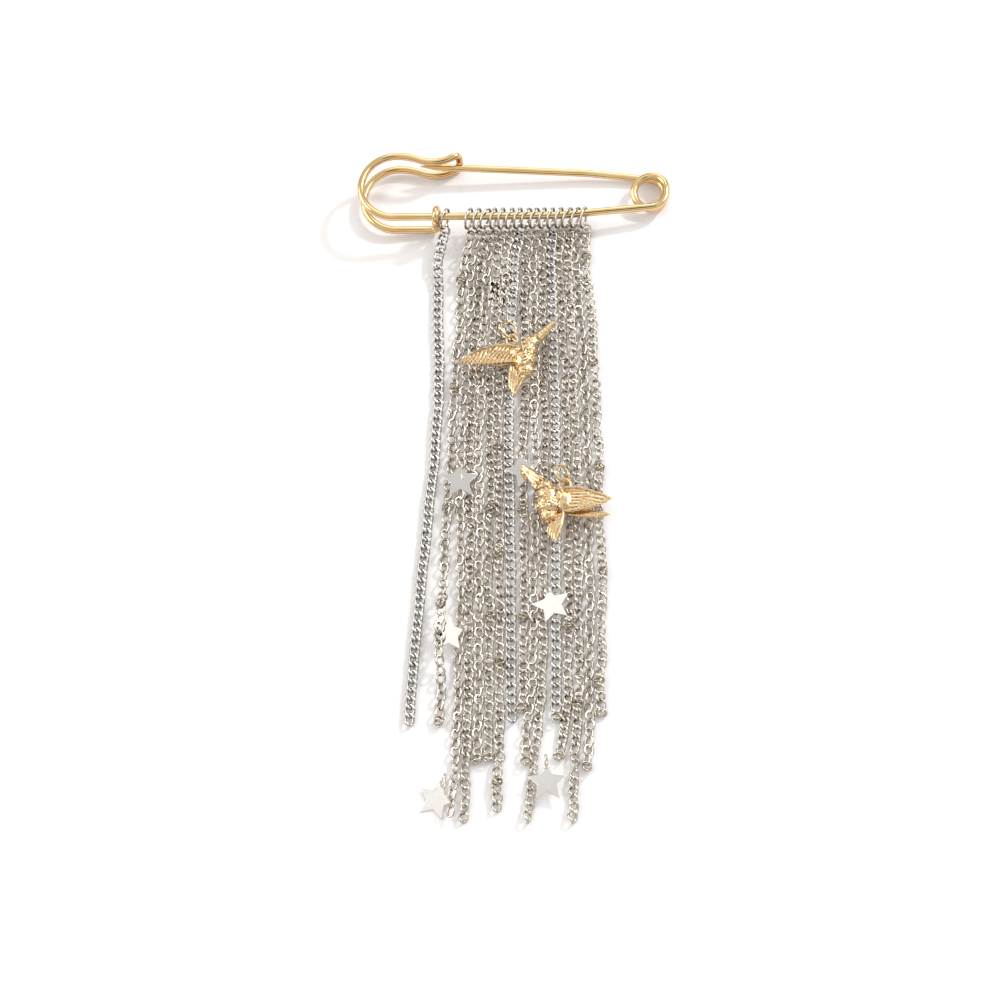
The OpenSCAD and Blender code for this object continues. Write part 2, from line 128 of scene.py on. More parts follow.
def plated_metal(name, tones, roughness, cloud_mm, rub_mm, bump, painted_shade=None):
    """A plated metal: cloudy tone, uneven polish, fine rub marks and, where asked, painted shade.

    tones are two colours of the plate and roughness its lowest and highest value. cloud_mm is the size of
    the tone's clouds, rub_mm the spacing of the rub marks and painted_shade the colour of the shade that is
    painted in as far as the mesh's painted_shade attribute asks for it.
    """
    material = bpy.data.materials.new(name)
    material.use_nodes = True
    tree = material.node_tree
    shader = tree.nodes["Principled BSDF"]
    shader.inputs["Metallic"].default_value = 1.0
    place = add(tree, "ShaderNodeTexCoord").outputs["Object"]
    clouds = add(tree, "ShaderNodeTexNoise", {"Scale": 1 / (cloud_mm * MM), "Detail": 3.0},
                 {"Vector": place})
    rubs = add(tree, "ShaderNodeTexNoise", {"Scale": 1 / (rub_mm * MM), "Detail": 5.0, "Roughness": 0.65},
               {"Vector": place})
    colour = clouded(tree, clouds.outputs["Fac"], CLOUD_SPREAD, tones)
    # Painted shade: the plate's tone turns to the shade colour as far as the mesh's painted_shade attribute
    # says
    if painted_shade:
        depth = add(tree, "ShaderNodeAttribute", {"attribute_name": "painted_shade"})
        mix = add(tree, "ShaderNodeMix", {"data_type": "RGBA", 7: linear(painted_shade)},
                  {0: depth.outputs["Fac"], 6: colour})
        colour = mix.outputs[2]
    tree.links.new(colour, shader.inputs["Base Color"])
    polish = add(tree, "ShaderNodeMapRange", {"From Min": RUB_SPREAD[0], "From Max": RUB_SPREAD[1],
                                              "To Min": roughness[0], "To Max": roughness[1]},
                 {"Value": rubs.outputs["Fac"]})
    tree.links.new(polish.outputs["Result"], shader.inputs["Roughness"])
    relief = add(tree, "ShaderNodeBump", {"Strength": bump, "Distance": RUB_DEPTH * MM},
                 {"Height": rubs.outputs["Fac"]})
    tree.links.new(relief.outputs["Normal"], shader.inputs["Normal"])
    return material


# Bright yellow gold plate on drawn wire: clear reflections, pale highlights and amber painted shade on the
# wire's lower sides
GILT_WIRE = plated_metal("polished_gold_plate", ("#F5D296", "#FBDFA8"), (0.03, 0.08), 6.0, 0.5, 0.05,
                         painted_shade="#A85F22")
# The same plate on a casting, softer, with painted shade in the grooves of the feathers
GILT_CAST = plated_metal("cast_gold_plate", ("#F2CB96", "#FADEB0"), (0.16, 0.3), 1.5, 0.2, 0.2,
                         painted_shade="#86522A")
# Bright plate on thin chain wire: hard sparkling reflections, slightly warm, with brown painted shade on the
# wires' lower sides
RHODIUM_CHAIN = plated_metal("rhodium_plated_chain", ("#E6DACA", "#F8EFE1"), (0.05, 0.14), 2.0, 0.2, 0.25,
                             painted_shade="#463828")
# Brighter, cooler plate on the curb chains' heavier wire, with dark painted shade on its lower sides
NICKEL_CURB = plated_metal("bright_nickel_plate", ("#DEDAD3", "#F2EEE9"), (0.06, 0.16), 1.5, 0.15, 0.25,
                           painted_shade="#45403A")
# Stamped and tumbled sheet: nearly a mirror, creamy white
STAR_SHEET = plated_metal("tumbled_silver_sheet", ("#F0ECE4", "#F7F4EE"), (0.08, 0.14), 4.0, 0.4, 0.1)
# Small loose rings on the chains: browner and duller than the chain, with painted shade on their lower sides
STATION_BRASS = plated_metal("aged_brass", ("#C4B8A4", "#D6CCBA"), (0.14, 0.28), 0.8, 0.1, 0.4,
                             painted_shade="#6A5238")


# Pieces
# How far a wire's normal points up where its painted shade is full, and where it is gone
SHADE_FULL_BELOW = -0.1
SHADE_GONE_ABOVE = 0.6
# Vertices of a ring that are nearer to each other than this are joined
SEAM = 0.001


def eased(t):
    """0 to 1 with a soft start and a soft end."""
    t = min(max(t, 0), 1)
    return t * t * (3 - 2 * t)


def mesh_of(bm, name):
    mesh = bpy.data.meshes.new(name)
    bm.to_mesh(mesh)
    bm.free()
    return mesh


def shown(name, mesh, material):
    """A smooth object of a mesh in metres, with its finish."""
    mesh.materials.append(material)
    for polygon in mesh.polygons:
        polygon.use_smooth = True
    piece = bpy.data.objects.new(name, mesh)
    bpy.context.scene.collection.objects.link(piece)
    return piece


def finished(name, bm, material, replaces):
    """A piece of the brooch from a bmesh in millimetres; it stands for the CAD nodes named in replaces."""
    bmesh.ops.scale(bm, vec=(MM, MM, MM), verts=bm.verts)
    bmesh.ops.recalc_face_normals(bm, faces=bm.faces)
    piece = shown(name, mesh_of(bm, name), material)
    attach(piece, BROOCH)
    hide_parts(*replaces)
    return piece


def paint_shade_on_low_sides(piece, weight=1.0):
    """Paints shade on a wire where it turns away from above: its lower sides darken, as shade would fall on
    them.
    """
    notes = piece.data.attributes.new("painted_shade", "FLOAT", "POINT")
    # clean is the share of each vertex that the painted shade leaves bright
    clean = [eased((v.normal.z - SHADE_FULL_BELOW) / (SHADE_GONE_ABOVE - SHADE_FULL_BELOW)) for v in piece.data.vertices]
    notes.data.foreach_set("value", [weight * (1 - share) for share in clean])


def ring_mesh(radius, wire, around, sides, opening=0.0):
    """A wire ring in the XY plane, closed or with an opening given as an angle."""
    bm = bmesh.new()
    bmesh.ops.create_circle(bm, segments=sides, radius=wire / 2, cap_ends=opening > 0)
    bmesh.ops.rotate(bm, verts=bm.verts, matrix=Matrix.Rotation(pi / 2, 3, "X"))
    bmesh.ops.translate(bm, verts=bm.verts, vec=(radius, 0, 0))
    first = opening / 2 if opening else pi / around
    bmesh.ops.rotate(bm, verts=bm.verts, matrix=Matrix.Rotation(first, 3, "Z"))
    geometry = bm.verts[:] + bm.edges[:] + bm.faces[:]
    bmesh.ops.spin(bm, geom=geometry, cent=(0, 0, 0), axis=(0, 0, 1), angle=2 * pi - opening, steps=around,
                   use_merge=not opening, use_duplicate=False)
    bmesh.ops.remove_doubles(bm, verts=bm.verts, dist=SEAM)
    bmesh.ops.recalc_face_normals(bm, faces=bm.faces)
    return mesh_of(bm, "template")


def scatter(bm, template, places):
    """Adds a copy of the template to the bmesh at each place."""
    for place in places:
        shape = template.copy()
        shape.transform(place)
        bm.from_mesh(shape)
        bpy.data.meshes.remove(shape)


def frame_of(origin, along, roll=0.0):
    """A place whose Y runs along a direction, with Z turned up and then rolled about Y."""
    y = along.normalized()
    x = y.cross(Z).normalized()
    place = Matrix((x, y, x.cross(y))).transposed().to_4x4() @ Matrix.Rotation(roll, 4, "Y")
    return Matrix.Translation(origin) @ place


# The pin: sizes as in the model's source, u along the bar, v to the needle, w up from the bar's axis
WIRE_D = 1.8
NEEDLE_D = 1.7
HEAD_X = 28.1
HEAD_HEIGHT = 16.5
HEAD_DEPTH = 6.6
COLLAR_X = 18.0
COLLAR_PITCH = 0.25
COLLAR_FIT = 0.97
BAR_BEND_X = 11.5
BAR_SLOPE = radians(5.2)
NEEDLE_SLOPE = radians(7.4)
NEEDLE_BEND_X = 18.0
NEEDLE_END_SLOPE = radians(3.5)
NEEDLE_POINT_X = 22.8
POINT_LENGTH = 4.0
COIL_X = 32.6
COIL_R = 3.4
COIL_SIDE = 2.2
COIL_PITCH = 3.0
# The front turn of the coil is wider than the rear one, as it is wound
FRONT_R = 3.75
FRONT_SIDE = 1.4
FRONT_X = COIL_X + 0.3
# The coil's left side: its middle above the coil's and its radius over the rear turn's
LEFT_RISE = 0.3
LEFT_SPREAD = 0.25
REAR_DROP = 0.6
DIP_ANGLE = radians(22)
DIP_R = 14.5
RISE_R = 9.0
RISE_ANGLE = radians(28)
LIP_LENGTH = 0.8
HAIRPIN_R = 1.2
TAIL_R = 1.6
BEND_R = 30.0
PIN_X = 0.4
BAR_Y = 66.3
REST_GAP = 0.02
SHORTEST_SPAN = 0.02
COIL_V = (COIL_SIDE / 2 + COIL_R * cos(BAR_SLOPE)
          + (COIL_X + COIL_R * sin(BAR_SLOPE) - BAR_BEND_X) * tan(BAR_SLOPE))
DIP_END = (-HEAD_X + DIP_R * sin(DIP_ANGLE), HEAD_HEIGHT - DIP_R * (1 - cos(DIP_ANGLE)))
RISE_CENTRE = (DIP_END[0] + RISE_R * sin(DIP_ANGLE), DIP_END[1] + RISE_R * cos(DIP_ANGLE))
LIP_U = RISE_CENTRE[0] + RISE_R * sin(RISE_ANGLE) + LIP_LENGTH * cos(RISE_ANGLE)
LIP_V = RISE_CENTRE[1] - RISE_R * cos(RISE_ANGLE) + LIP_LENGTH * sin(RISE_ANGLE)
HAIRPIN_U = LIP_U + HAIRPIN_R * cos(RISE_ANGLE)
PIN_TILT = atan((HEAD_DEPTH - COIL_PITCH) / (COIL_X + COIL_R - HAIRPIN_U))
BAR_Z = WIRE_D / 2 + REST_GAP + HEAD_DEPTH * cos(PIN_TILT) + HAIRPIN_U * sin(PIN_TILT)
FRONT_LOW = (FRONT_X - BAR_BEND_X) * tan(BAR_SLOPE) + FRONT_R / cos(BAR_SLOPE)
ARC_STEP = radians(5)
TURN_STEP = radians(10)
STEPS_IN_QUARTER = 9
LINE_STEP = 2.0
# The ground point: shares of its length and of the needle's radius there
POINT_SHARES = (0.0, 0.25, 0.5, 0.7, 0.85, 0.95, 1.0)
POINT_RADII = (1, 0.8, 0.58, 0.4, 0.27, 0.17, 0.06)
# How round the pin's wires are
WIRE_ROUNDING = 6
# How strongly the pin's lower sides get painted shade
PIN_SHADE_WEIGHT = 0.6


def on_pin(u, v, w):
    """A point of the pin in the model's frame: the pin lies tilted, its coil lower than its head."""
    return Vector((PIN_X + u * cos(PIN_TILT) + w * sin(PIN_TILT), BAR_Y + v,
                   BAR_Z - u * sin(PIN_TILT) + w * cos(PIN_TILT)))


def spiral(first, last, start, end):
    """Points of a turn whose centre, radius and depth change evenly; both are given as (u, v, radius, w)."""
    steps = max(2, int(abs(end - start) / ARC_STEP))
    points = []
    for k in range(steps + 1):
        u, v, radius, w = (a + (b - a) * k / steps for a, b in zip(first, last))
        angle = start + (end - start) * k / steps
        points.append((u + radius * cos(angle), v + radius * sin(angle), w))
    return points


def arc(centre, radius, start, end, w):
    """Points of an arc at one depth."""
    turn = (*centre, radius, w)
    return spiral(turn, turn, start, end)


def line(start, end):
    start, end = Vector(start), Vector(end)
    count = max(1, int((end - start).length / LINE_STEP))
    return [tuple(start.lerp(end, k / count)) for k in range(count + 1)]


def head_strand(w):
    """One wire of the head, from the lip round to the bar's level."""
    points = arc(RISE_CENTRE, RISE_R, 3 * pi / 2 + RISE_ANGLE, 3 * pi / 2 - DIP_ANGLE, w)
    points += arc((-HEAD_X, HEAD_HEIGHT - DIP_R), DIP_R, pi / 2 - DIP_ANGLE, pi / 2, w)
    points += arc((-HEAD_X, HEAD_HEIGHT / 2), HEAD_HEIGHT / 2, pi / 2, 3 * pi / 2, w)
    return points


def collar_points():
    """The rear wire's end: it turns up behind the bar and is wound once round it."""
    points = []
    for k in range(STEPS_IN_QUARTER + 1):
        a = k * TURN_STEP
        points.append((TAIL_R * sin(a) - COLLAR_X - TAIL_R, 0, TAIL_R - HEAD_DEPTH - TAIL_R * cos(a)))
    turn = 4 * STEPS_IN_QUARTER
    radius = WIRE_D * COLLAR_FIT
    for k in range(turn + 1):
        a = k * TURN_STEP
        points.append((COLLAR_PITCH * k / turn - COLLAR_X, -radius * sin(a), -radius * cos(a)))
    return points


def hairpin_points():
    """The lip's bend from the front wire back to the rear one."""
    points = []
    for k in range(STEPS_IN_QUARTER + 1):
        a = k * TURN_STEP
        points.append((HAIRPIN_R * sin(a), -HAIRPIN_R * (1 - cos(a))))
    for k in range(STEPS_IN_QUARTER + 1):
        a = k * TURN_STEP
        points.append((HAIRPIN_R * cos(a), -HEAD_DEPTH + HAIRPIN_R * (1 - sin(a))))
    return [(LIP_U + out * cos(RISE_ANGLE), LIP_V + out * sin(RISE_ANGLE), w) for out, w in points]


def frame_wire():
    """From the collar round the rear strand, the hairpin and the front strand, along the bar to the coil."""
    collar = collar_points()
    bar_end = BAR_BEND_X - BEND_R * tan(BAR_SLOPE / 2)
    points = list(reversed(collar))
    points += line(collar[0], (-HEAD_X, 0, -HEAD_DEPTH))
    points += list(reversed(head_strand(-HEAD_DEPTH)))
    points += list(reversed(hairpin_points()))
    points += head_strand(0)
    points += line((-HEAD_X, 0, 0), (bar_end, 0, 0))
    points += arc((bar_end, BEND_R), BEND_R, -pi / 2, -pi / 2 + BAR_SLOPE, 0)
    points += arc((FRONT_X, FRONT_LOW), FRONT_R, -pi / 2 + BAR_SLOPE, 0, 0)
    points.append((FRONT_X + FRONT_R, FRONT_LOW + FRONT_SIDE / 2, 0))
    return points


def coil_wire():
    """One turn of the coil, from the middle of its front right side to the middle of its rear right side."""
    front = (FRONT_X, FRONT_LOW + FRONT_SIDE, FRONT_R, 0)
    left = (COIL_X, COIL_V + LEFT_RISE, COIL_R + LEFT_SPREAD, -COIL_PITCH / 2)
    rear = (COIL_X, COIL_V - REAR_DROP, COIL_R, -COIL_PITCH)
    points = [(FRONT_X + FRONT_R, FRONT_LOW + FRONT_SIDE / 2, 0)]
    points += spiral(front, left, 0, pi)
    points += spiral(left, rear, pi, 2 * pi)
    points.append((COIL_X + COIL_R, COIL_V, -COIL_PITCH))
    return points


def needle_wire():
    """From the coil's rear right side over its top into the needle; the last points carry the ground tip."""
    points = [(COIL_X + COIL_R, COIL_V, -COIL_PITCH)]
    points += arc((COIL_X, COIL_V + COIL_SIDE / 2), COIL_R, 0, pi / 2 - NEEDLE_SLOPE, -COIL_PITCH)
    out = points[-1]
    bend_v = out[1] + (out[0] - NEEDLE_BEND_X) * tan(NEEDLE_SLOPE)
    reach = BEND_R * tan((NEEDLE_SLOPE - NEEDLE_END_SLOPE) / 2)
    centre = (NEEDLE_BEND_X + reach * cos(NEEDLE_SLOPE) - BEND_R * sin(NEEDLE_SLOPE),
              bend_v - reach * sin(NEEDLE_SLOPE) - BEND_R * cos(NEEDLE_SLOPE))
    points += arc(centre, BEND_R, pi / 2 - NEEDLE_SLOPE, pi / 2 - NEEDLE_END_SLOPE, -COIL_PITCH)
    begin = Vector(points[-1])
    straight = (begin.x + NEEDLE_POINT_X) / cos(NEEDLE_END_SLOPE) - POINT_LENGTH
    way = Vector((-cos(NEEDLE_END_SLOPE), sin(NEEDLE_END_SLOPE), 0))
    points += line(begin, begin + way * straight)
    points += [tuple(begin + way * (straight + POINT_LENGTH * share)) for share in POINT_SHARES]
    return points


def wire_object(name, points, radii):
    """A round wire along points of the pin: a bevelled curve, made a mesh at once."""
    clean = []
    for point, radius in zip(points, radii):
        place = on_pin(*point) * MM
        if not clean or (place - clean[-1][0]).length >= SHORTEST_SPAN * MM:
            clean.append((place, radius))
    curve = bpy.data.curves.new(name, "CURVE")
    curve.dimensions = "3D"
    curve.bevel_depth = MM
    curve.bevel_resolution = WIRE_ROUNDING
    curve.use_fill_caps = True
    spline = curve.splines.new("POLY")
    spline.points.add(len(clean) - 1)
    for knot_point, (place, radius) in zip(spline.points, clean):
        knot_point.co = (*place, 1)
        knot_point.radius = radius
    holder = bpy.data.objects.new(name, curve)
    bpy.context.scene.collection.objects.link(holder)
    bpy.context.view_layer.update()
    mesh = bpy.data.meshes.new_from_object(holder.evaluated_get(bpy.context.evaluated_depsgraph_get()))
    bpy.data.objects.remove(holder)
    mesh.name = name
    mesh.materials.clear()
    piece = shown(name, mesh, GILT_WIRE)
    # Painted shade on the wire's lower sides
    paint_shade_on_low_sides(piece, PIN_SHADE_WEIGHT)
    return piece


def make_pin():
    points = frame_wire()
    wire = wire_object("pin_wire", points, [WIRE_D / 2] * len(points))
    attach(wire, BROOCH)
    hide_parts("pin_frame")
    points = coil_wire()
    coil = wire_object("pin_coil", points, [WIRE_D / 2] * len(points))
    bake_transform(coil)
    points = needle_wire()
    shank = len(points) - len(POINT_RADII) - 1
    radii = [(WIRE_D + (NEEDLE_D - WIRE_D) * k / shank) / 2 for k in range(shank + 1)]
    radii += [NEEDLE_D / 2 * share for share in POINT_RADII]
    needle = wire_object("pin_needle", points, radii)
    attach(needle, ARM)
    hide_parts("pin_arm")


# Rings on the bar
RINGS = 16
FIRST_RING_X = -15.6
SECOND_RING_X = -9.9
RING_STEP = 1.95
RING_R = 2.42
RING_WIRE = 0.56
RING_WIRE_SEEN = 0.62
RING_TURN = radians(20)
RING_SWAY = 7
RING_SLIT = radians(5)
SLIT_PLACES = (60, 140)
CLEARANCE = 0.1
RING_HANG = RING_R - RING_WIRE / 2 - WIRE_D / 2 - CLEARANCE
HOOK_ANGLE = radians(60)


def ring_x(i):
    return FIRST_RING_X if i == 0 else SECOND_RING_X + (i - 1) * RING_STEP


def ring_centre(i):
    x = ring_x(i)
    return Vector((x, BAR_Y, BAR_Z - (x - PIN_X) * tan(PIN_TILT) - RING_HANG))


def hook(i, reach):
    """The point at a distance from a bar ring's centre where its chain is hooked in."""
    flat = reach * cos(HOOK_ANGLE)
    return ring_centre(i) + Vector((flat * sin(RING_TURN), -flat * cos(RING_TURN), -reach * sin(HOOK_ANGLE)))


def make_bar_rings():
    chance = random.Random(5)
    places = []
    for i in range(RINGS):
        turn = Matrix.Rotation(-RING_TURN + radians(chance.uniform(-RING_SWAY, RING_SWAY)), 4, "Z")
        slit = Matrix.Rotation(radians(chance.uniform(*SLIT_PLACES)), 4, "Z")
        places.append(Matrix.Translation(ring_centre(i)) @ turn @ Matrix.Rotation(pi / 2, 4, "Y") @ slit)
    bm = bmesh.new()
    scatter(bm, ring_mesh(RING_R, RING_WIRE_SEEN, 36, 10, RING_SLIT), places)
    nodes = ["bar_ring_%d" % i for i in range(RINGS)]
    # Painted shade on the rings' lower sides
    paint_shade_on_low_sides(finished("bar_rings", bm, RHODIUM_CHAIN, nodes))


# Chains: the routes of the model's source, a row of X for each chain at the values of Y in ROUTE_Y
ROUTE_Y = [57, 47, 35, 21, 7, -13, -33, -51]
ROUTE_X = [
    [-16.9, -16.8, -16.4, -16.2, -16.7, -17.9, -19, -19.8],
    [-11.3, -11.8, -12.5, -12.8, -13, -13.2, -13.2, -12.8],
    [-9.3, -9.6, -10.2, -10.3, -10.3, -9.8, -9.3, -9.1],
    [-7.3, -7.7, -8.3, -8.4, -8.3, -7.6, -7, -6.7],
    [-5.3, -5.7, -6.2, -6.3, -6.1, -5.3, -4.7, -4.4],
    [-3.3, -3.5, -4, -4.1, -3.9, -3, -2.5, -2],
    [-1.1, -1.4, -1.9, -1.9, -1.6, -0.7, 0, 0.5],
    [1.1, 0.9, 0.5, 0.5, 0.8, 1.8, 2.5, 3],
    [3.3, 3.3, 3.7, 4.1, 4.4, 5, 5.5, 5.8],
    [5.3, 5.6, 6.1, 6.7, 7.1, 7.4, 7.7, 7.8],
    [7.3, 7.7, 8.3, 9, 9.4, 9.7, 9.9, 10],
    [9.3, 9.9, 10.6, 11.3, 11.8, 12.3, 12.8, 13.3],
    [11.4, 12, 12.9, 13.6, 14.3, 15.2, 15.7, 16],
    [13.5, 14.2, 15.1, 15.9, 16.7, 17.5, 18, 18.4],
    [15.5, 16.3, 17.5, 18.4, 19.2, 20, 20.6, 20.8],
    [17.6, 18.6, 20, 21.1, 21.9, 22.6, 23.2, 23.4]]
ROUTE_END = [
    (-20, -60.5), (-13, -58), (-9.1, -81.6), (-6.7, -83.7), (-4.3, -68), (-1.5, -66.8),
    (0.7, -81), (3.5, -60.8), (5.33, -55.7), (6.6, -66.6), (7.6, -82.5), (13.4, -58), (14.8, -66.6),
    (17.6, -84), (20.8, -69.2), (23.4, -57.4)]
CHAIN_D = 1.5
# The length over which a chain comes down from its ring to the surface
CHAIN_LAND = 16
STAR_SHEET_T = 0.35
# Chain, Y and extra height where it lies over something
HUMPS = [(1, -37.5, 2.4), (2, -77.5, 0.6), (4, 52, 1.2), (5, 52, 1.2), (6, 52, 1.6), (7, 52, 1.2)]
HUMP_LENGTH = 9
# Chain and Y of each group of loose rings
STATIONS = [
    (1, 52.2), (1, 24), (1, -6.5), (1, -31), (5, -6.9), (5, -33.3), (6, 35.4), (6, 8.4), (6, -18.5),
    (6, -45), (6, -72.9), (8, -7.4), (8, -34.2), (12, -36.7), (13, -55), (15, 56.6), (15, 29), (15, 2.6),
    (15, -23.6), (15, -50)]
STATION_RISE = 0.3
STATION_LENGTH = 2.2
END_RING_CHAINS = (1, 4, 5, 8, 9, 11, 12, 14, 15)
END_RING_ROOM = 0.3
# How far each chain lies over its neighbours where the fringe is dense, and where that has faded out
LAYER = [0, 0.1, 0.5, 0, 0.55, 0.1, 0.5, 0.9, 0.1, 0.5, 0, 0.9, 0.1, 0.5, 0.05, 0.3]
LAYER_FADE = 60
ROUTE_START = RING_R + RING_WIRE / 2 + CLEARANCE


def chain_start(i):
    """Where a chain's route begins, just outside its ring on the bar."""
    return hook(i, ROUTE_START) + Vector((0, -CHAIN_D / 4, -CHAIN_D / 4))


def x_at(i, y):
    rows = [(chain_start(i).y, chain_start(i).x)]
    rows += [(ry, rx) for ry, rx in zip(ROUTE_Y, ROUTE_X[i]) if ry > ROUTE_END[i][1]]
    rows.append((ROUTE_END[i][1], ROUTE_END[i][0]))
    if y >= rows[0][0]:
        return rows[0][1]
    for (ya, xa), (yb, xb) in zip(rows, rows[1:]):
        if y >= yb:
            return xa + (xb - xa) * (ya - y) / (ya - yb)
    return rows[-1][1]


def z_at(i, y, rest):
    """The height of a chain's middle, which is rest where it lies on the bare surface."""
    humps = [(STAR_SHEET_T + h) * eased(1.5 - abs(y - hy) / HUMP_LENGTH) for n, hy, h in HUMPS if n == i]
    beads = [STATION_RISE * eased(1.8 - abs(y - sy) / STATION_LENGTH) for n, sy in STATIONS if n == i]
    landing = eased((y - chain_start(i).y + CHAIN_LAND) / CHAIN_LAND)
    over = LAYER[i] * eased((y + LAYER_FADE) / LAYER_FADE) * (1 - landing)
    return rest + max(humps + [0]) + max(beads + [0]) + over + (chain_start(i).z - rest) * landing


def route(i, y, rest):
    return Vector((x_at(i, y), y, z_at(i, y, rest)))


# A chain's links: half width and half length of the oval, wire, twist in degrees, segments of the oval,
# pitch, room kept for the last link at the route's end, a link's tip from its middle, how unevenly the links
# lie, and the scales between which they vary
Link = namedtuple("Link", "half_width half_length wire twist around pitch last tip unrest scales")
CABLE = Link(1.06, 1.3, 0.61, 12, 12, 2.02, 1.2, 1.55, 0, (0.9, 1.04))
FINE_CURB = Link(0.96, 1.34, 0.63, 48, 12, 1.98, 1.2, 1.6, 26, (0.88, 1.05))
LIGHT_CURB = Link(1.05, 1.46, 0.62, 44, 14, 2.15, 1.4, 1.7, 8, (0.97, 1.02))
HEAVY_CURB = Link(0.98, 1.5, 0.7, 44, 14, 2.05, 1.5, 1.8, 5, (0.97, 1.02))
CURB_CHAINS = (7, 11)
CABLE_CHAINS = (1, 2, 4, 9, 14)
LINK_SIDES = 6
# A cable chain's roll in degrees: its middle, slow sway, chance, and the turn of every other link
CABLE_ROLL, CABLE_SWAY, CABLE_CHANCE, CABLE_TURN = 38, 34, 20, 72
CURB_ROLL = 10
CURB_SWAY = 2.0
CURB_CHANCE = 1.2
# Steps of the noise per millimetre for the roll, and for the long and the short drift sideways
ROLL_STEP = 0.09
LONG_DRIFT_STEP = 0.11
SHORT_DRIFT_STEP = 0.31
DRIFT = 0.6
DRIFT_PLAIN = 0.2
DRIFT_START = 12
# A cable link's chance shift and skew, and a curb link's for each unit of its unrest
CABLE_SHIFT = 0.05
CABLE_SKEW = 0.14
CURB_SHIFT = 0.007
CURB_SKEW = 0.009
# The heavy curb chain lies a little to the left of its route at the top
HEAVY_SHIFT = 0.8
HEAVY_SHIFT_FROM = 10
HEAVY_SHIFT_LENGTH = 50
# A fine chain's first link is this far along its route, behind a ring of its own
FIRST_LINK = 1.5
FIRST_RING_R = 1.0
FIRST_RING_WIRE = 0.46
FIRST_RING_WAY = Vector((0, 1, 0.25))
FIRST_RING_ROLL = 25
# Heights of the links' middles while they are counted out, and the room kept under tipped and curb links
CABLE_REST = 0.8
CURB_REST = 0.9
TIP_ROOM = 0.06
CABLE_ROOM = 0.03
CURB_ROOM = 0.04


def stops_along(i, first_y, rest, link):
    """Values of Y one pitch apart along a route; small rings take over where a chain ends in them."""
    end_y = ROUTE_END[i][1] + (END_RING_ROOM if i in END_RING_CHAINS else link.last)
    y = first_y
    found = []
    while y > end_y:
        found.append(y)
        y -= link.pitch / (route(i, y, rest) - route(i, y - 1, rest)).length
    return found


def wander(i, y, size):
    """A slow sideways drift of a chain that lies as it fell."""
    long_drift = noise.noise(Vector((LONG_DRIFT_STEP * y, 7.3 * i, 0)))
    short_drift = noise.noise(Vector((SHORT_DRIFT_STEP * y, 7.3 * i, 4)))
    return size * (long_drift + 0.5 * short_drift)


def sway(i, y):
    """A slow change along a chain, for its roll."""
    return noise.noise(Vector((ROLL_STEP * y, 3.1 * i, 9)))


def link_mesh(link):
    """A link: an oval of wire, twisted about its length as a curb link is."""
    mesh = ring_mesh(link.half_width, link.wire, link.around, LINK_SIDES)
    for vert in mesh.vertices:
        angle = atan2(vert.co.y, vert.co.x)
        centre = Vector((link.half_width * cos(angle), link.half_width * sin(angle), 0))
        spread = vert.co - centre
        centre.y *= link.half_length / link.half_width
        turn = radians(link.twist) * sin(angle)
        vert.co = Matrix.Rotation(-turn, 3, "Y") @ (centre + spread)
    return mesh


def cable_places(i, chance):
    """Places of a fine chain's oval links: each is rolled about a quarter turn from the one before."""
    places = []
    for k, y in enumerate(stops_along(i, chain_start(i).y - FIRST_LINK, CABLE_REST, CABLE)):
        roll = radians(CABLE_ROLL + CABLE_SWAY * sway(i, y) + chance.uniform(-CABLE_CHANCE, CABLE_CHANCE))
        roll -= radians(CABLE_TURN) if k % 2 else 0
        rest = (CABLE.half_width + TIP_ROOM) * abs(sin(roll)) + CABLE.wire / 2 + CABLE_ROOM
        here = route(i, y, rest)
        along = route(i, y + 0.7, rest) - route(i, y - 0.7, rest)
        here.x += wander(i, y, DRIFT) * eased((chain_start(i).y - y) / DRIFT_START)
        here.x += chance.uniform(-CABLE_SHIFT, CABLE_SHIFT)
        along.x += chance.uniform(-CABLE_SKEW, CABLE_SKEW)
        places.append(frame_of(here, along, roll) @ Matrix.Scale(chance.uniform(*CABLE.scales), 4))
    return places


def curb_places(i, link, chance):
    """Places of curb links: all lie alike, but the chain as a whole is turned a little here and there."""
    plain = link is not FINE_CURB
    drift = DRIFT_PLAIN if plain else DRIFT
    places = []
    for y in stops_along(i, chain_start(i).y - (0 if plain else FIRST_LINK), CURB_REST, link):
        roll = CURB_SWAY * sway(i, y) + chance.uniform(-CURB_CHANCE, CURB_CHANCE)
        roll = radians(CURB_ROLL + link.unrest * roll)
        rest = link.half_width * (0.4 + 0.6 * abs(sin(roll))) + link.wire / 2 + CURB_ROOM
        here = route(i, y, rest)
        here.x += wander(i, y, drift) * eased((chain_start(i).y - y) / DRIFT_START)
        if link is HEAVY_CURB:
            here.x -= HEAVY_SHIFT * eased((y - HEAVY_SHIFT_FROM) / HEAVY_SHIFT_LENGTH)
        along = route(i, y + 0.5, rest) - route(i, y - 0.5, rest)
        along.x += chance.uniform(-CURB_SKEW, CURB_SKEW) * link.unrest
        here.y += chance.uniform(-CURB_SHIFT, CURB_SHIFT) * link.unrest
        places.append(frame_of(here, along, roll) @ Matrix.Scale(chance.uniform(*link.scales), 4))
    return places


def kind_of(i):
    if i == 0:
        return HEAVY_CURB
    if i in CURB_CHAINS:
        return LIGHT_CURB
    return CABLE if i in CABLE_CHAINS else FINE_CURB


